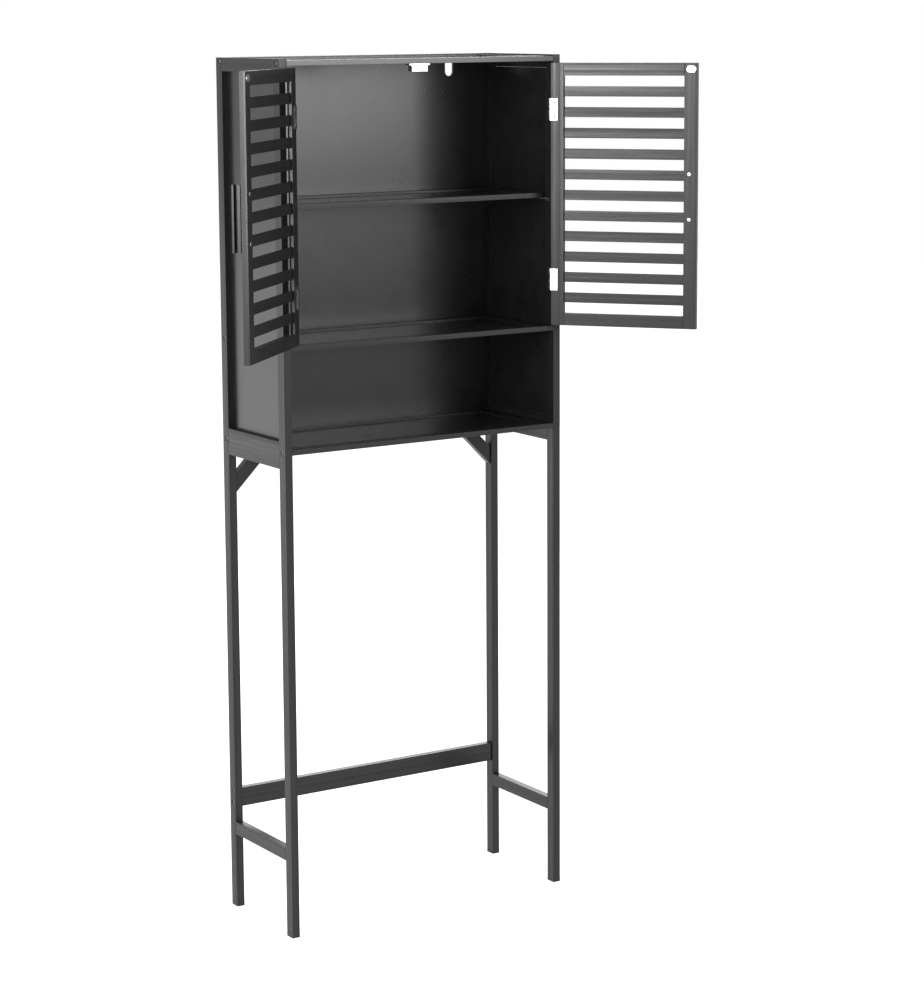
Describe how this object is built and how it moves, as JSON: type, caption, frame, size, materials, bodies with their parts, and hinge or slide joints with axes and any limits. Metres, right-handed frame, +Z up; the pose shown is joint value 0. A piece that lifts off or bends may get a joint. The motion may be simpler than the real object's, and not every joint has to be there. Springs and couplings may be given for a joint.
{
  "type": "over the toilet storage rack",
  "caption": "Tall open leg frame that stands over a toilet and carries a cabinet with slatted double doors, an adjustable shelf and an open bottom compartment.",
  "frame": {"origin": "on the floor, in the middle of the footprint of the rack with its doors open as at rest", "axes": "+X to the right and +Y to the wall as seen by someone facing the rack, +Z up"},
  "size_m": [1.0058, 0.49, 1.69],
  "materials": {
    "painted_bamboo": "satin black lacquer over solid bamboo strips",
    "painted_panel": "satin black lacquer over smooth fibreboard",
    "black_metal": "satin black lacquer on metal, edges bright",
    "plated_steel": "bright nickel plate on stamped steel"
  },
  "bodies": {
    "rack": {"front_left_leg": "painted_bamboo", "front_right_leg": "painted_bamboo", "back_left_leg": "painted_bamboo", "back_right_leg": "painted_bamboo", "left_leg_top_rail": "painted_bamboo", "right_leg_top_rail": "painted_bamboo", "left_side_stretcher": "painted_bamboo", "right_side_stretcher": "painted_bamboo", "back_stretcher": "painted_bamboo", "left_brace": "painted_bamboo", "right_brace": "painted_bamboo", "left_front_stile": "painted_bamboo", "right_front_stile": "painted_bamboo", "left_back_stile": "painted_bamboo", "right_back_stile": "painted_bamboo", "left_side_top_rail": "painted_bamboo", "right_side_top_rail": "painted_bamboo", "left_side_bottom_rail": "painted_bamboo", "right_side_bottom_rail": "painted_bamboo", "left_side_panel": "painted_panel", "right_side_panel": "painted_panel", "back_panel": "painted_panel", "top_panel": "painted_bamboo", "bottom_shelf_frame": "painted_bamboo", "bottom_shelf_board": "painted_panel", "fixed_shelf_frame": "painted_bamboo", "fixed_shelf_board": "painted_panel", "front_left_shelf_support": "plated_steel", "back_left_shelf_support": "plated_steel", "front_right_shelf_support": "plated_steel", "back_right_shelf_support": "plated_steel", "magnetic_catch": "plated_steel", "left_upper_hinge_side_leaf": "plated_steel", "left_upper_hinge_pin": "plated_steel", "left_lower_hinge_side_leaf": "plated_steel", "left_lower_hinge_pin": "plated_steel", "right_upper_hinge_side_leaf": "plated_steel", "right_upper_hinge_pin": "plated_steel", "right_lower_hinge_side_leaf": "plated_steel", "right_lower_hinge_pin": "plated_steel"},
    "left_door": {"left_door_hinge_stile": "painted_bamboo", "left_door_free_stile": "painted_bamboo", "left_door_top_rail": "painted_bamboo", "left_door_bottom_rail": "painted_bamboo", "left_door_slats": "painted_bamboo", "left_handle": "black_metal", "left_strike_plate": "plated_steel", "left_upper_hinge_door_leaf": "plated_steel", "left_lower_hinge_door_leaf": "plated_steel"},
    "right_door": {"right_door_hinge_stile": "painted_bamboo", "right_door_free_stile": "painted_bamboo", "right_door_top_rail": "painted_bamboo", "right_door_bottom_rail": "painted_bamboo", "right_door_slats": "painted_bamboo", "right_handle": "black_metal", "right_strike_plate": "plated_steel", "right_upper_hinge_door_leaf": "plated_steel", "right_lower_hinge_door_leaf": "plated_steel"},
    "adjustable_shelf": {"adjustable_shelf_frame": "painted_bamboo", "adjustable_shelf_board": "painted_panel"}
  },
  "joints": [
    {"name": "left_door_hinge", "type": "hinge", "parent": "rack", "child": "left_door", "pos_m": [-0.28392, -0.00646, 1.4155], "axis": [0, 0, 1], "range_deg": [-33.5, 136.5]},
    {"name": "right_door_hinge", "type": "hinge", "parent": "rack", "child": "right_door", "pos_m": [0.30958, -0.00646, 1.4155], "axis": [0, 0, 1], "range_deg": [-129, 41]},
    {"name": "shelf_lift", "type": "slide", "parent": "rack", "child": "adjustable_shelf", "axis": [0, 0, 1], "range_m": [0, 0.12]}
  ]
}
